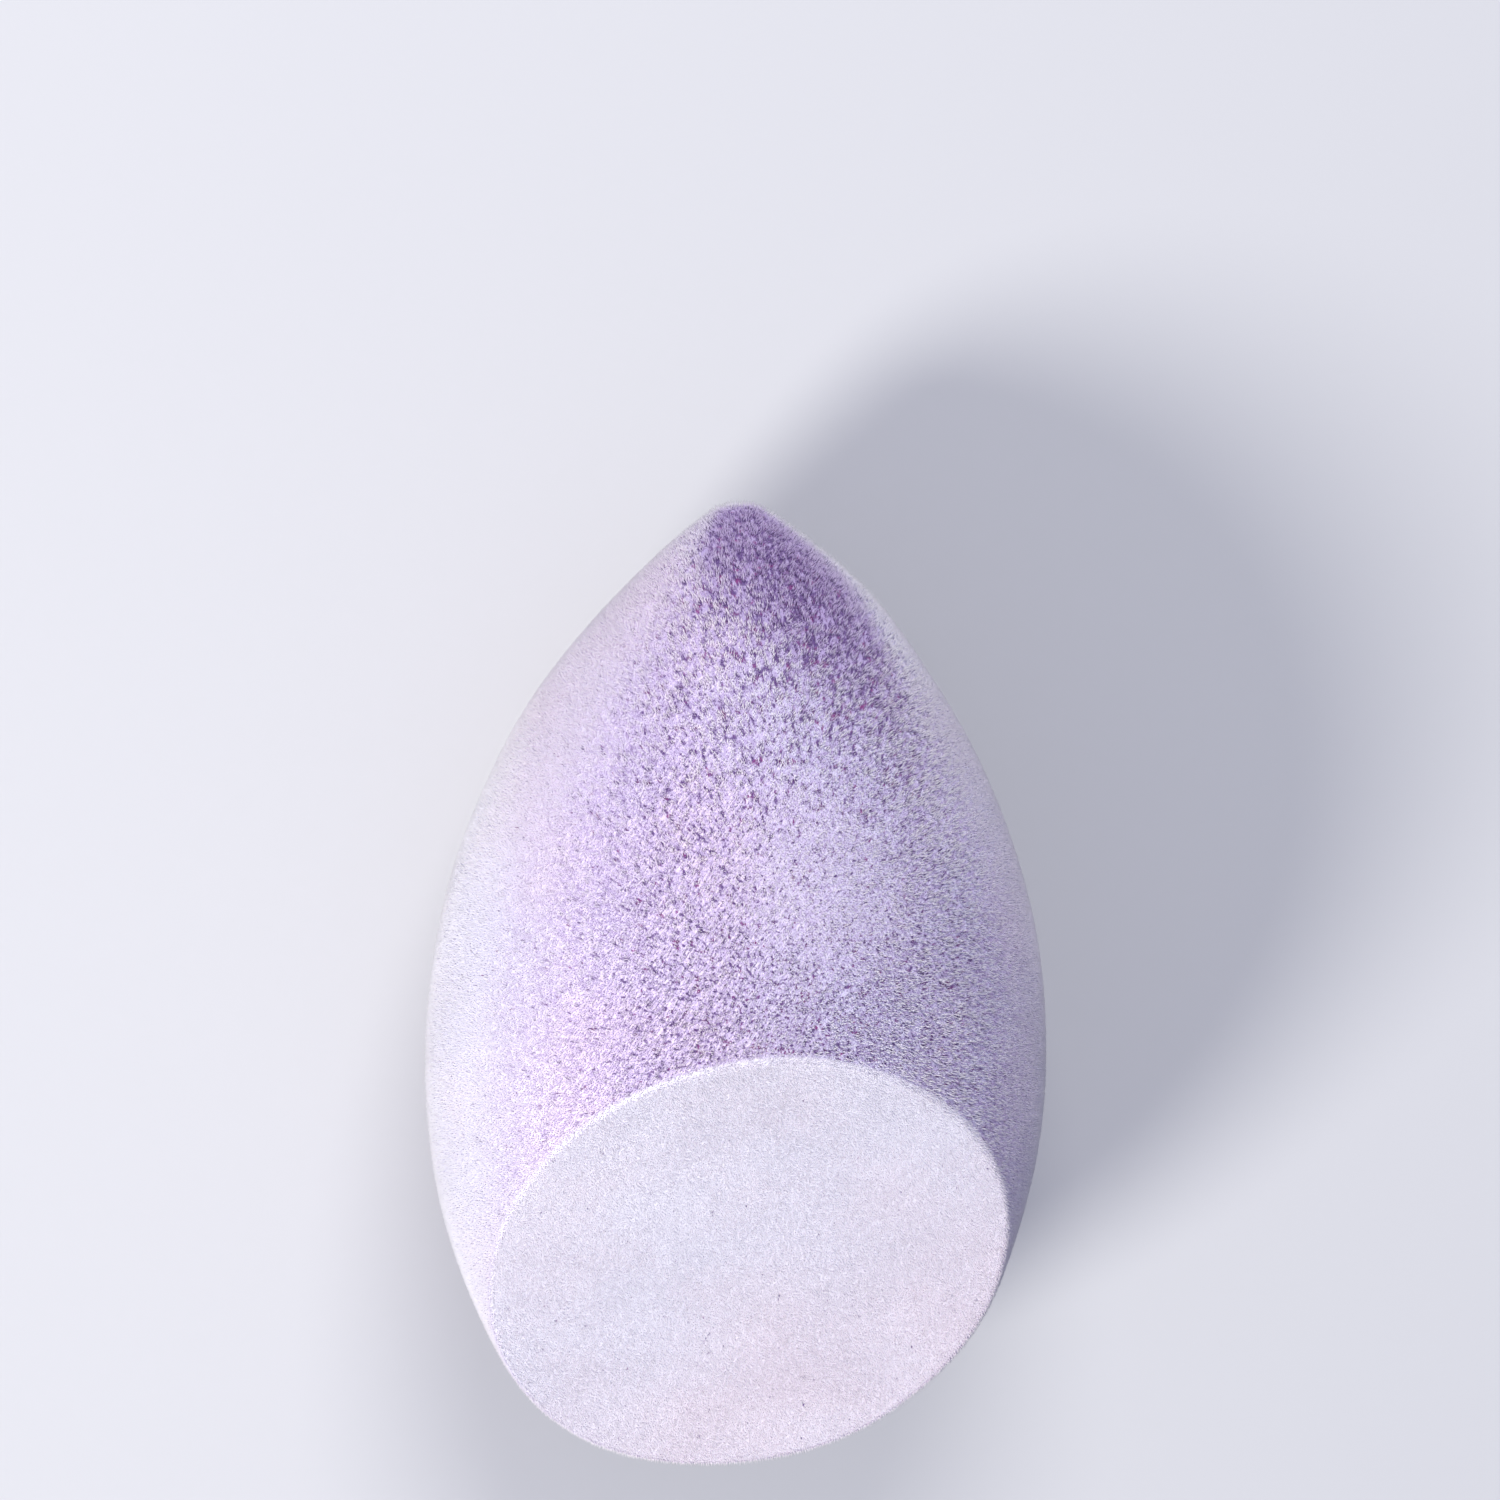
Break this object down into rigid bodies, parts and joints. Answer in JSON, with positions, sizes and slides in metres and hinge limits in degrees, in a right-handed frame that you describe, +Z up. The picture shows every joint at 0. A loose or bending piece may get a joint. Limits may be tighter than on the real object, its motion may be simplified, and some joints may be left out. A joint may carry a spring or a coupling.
{
  "type": "makeup sponge",
  "caption": "Flocked teardrop makeup sponge with a pointed tip and one slanted flat cut, for dabbing and blending liquid or powder make-up.",
  "frame": {"origin": "middle of the flat that the sponge's weight presses into the pile on its back, on the surface it lies on", "axes": "+Z up, +Y towards the tip, the slanted cut looks up and towards -Y, and the sponge is symmetric about X = 0"},
  "size_m": [0.04, 0.0634, 0.0394],
  "materials": {
    "foam": "fine open-cell polyurethane foam, matt",
    "adhesive": "thin flexible film, satin",
    "flock": "short upright velvet pile"
  },
  "bodies": {
    "root": {"foam_core": "foam", "body_glue": "adhesive", "face_glue": "adhesive", "body_flock": "flock", "face_flock": "flock"}
  },
  "joints": []
}
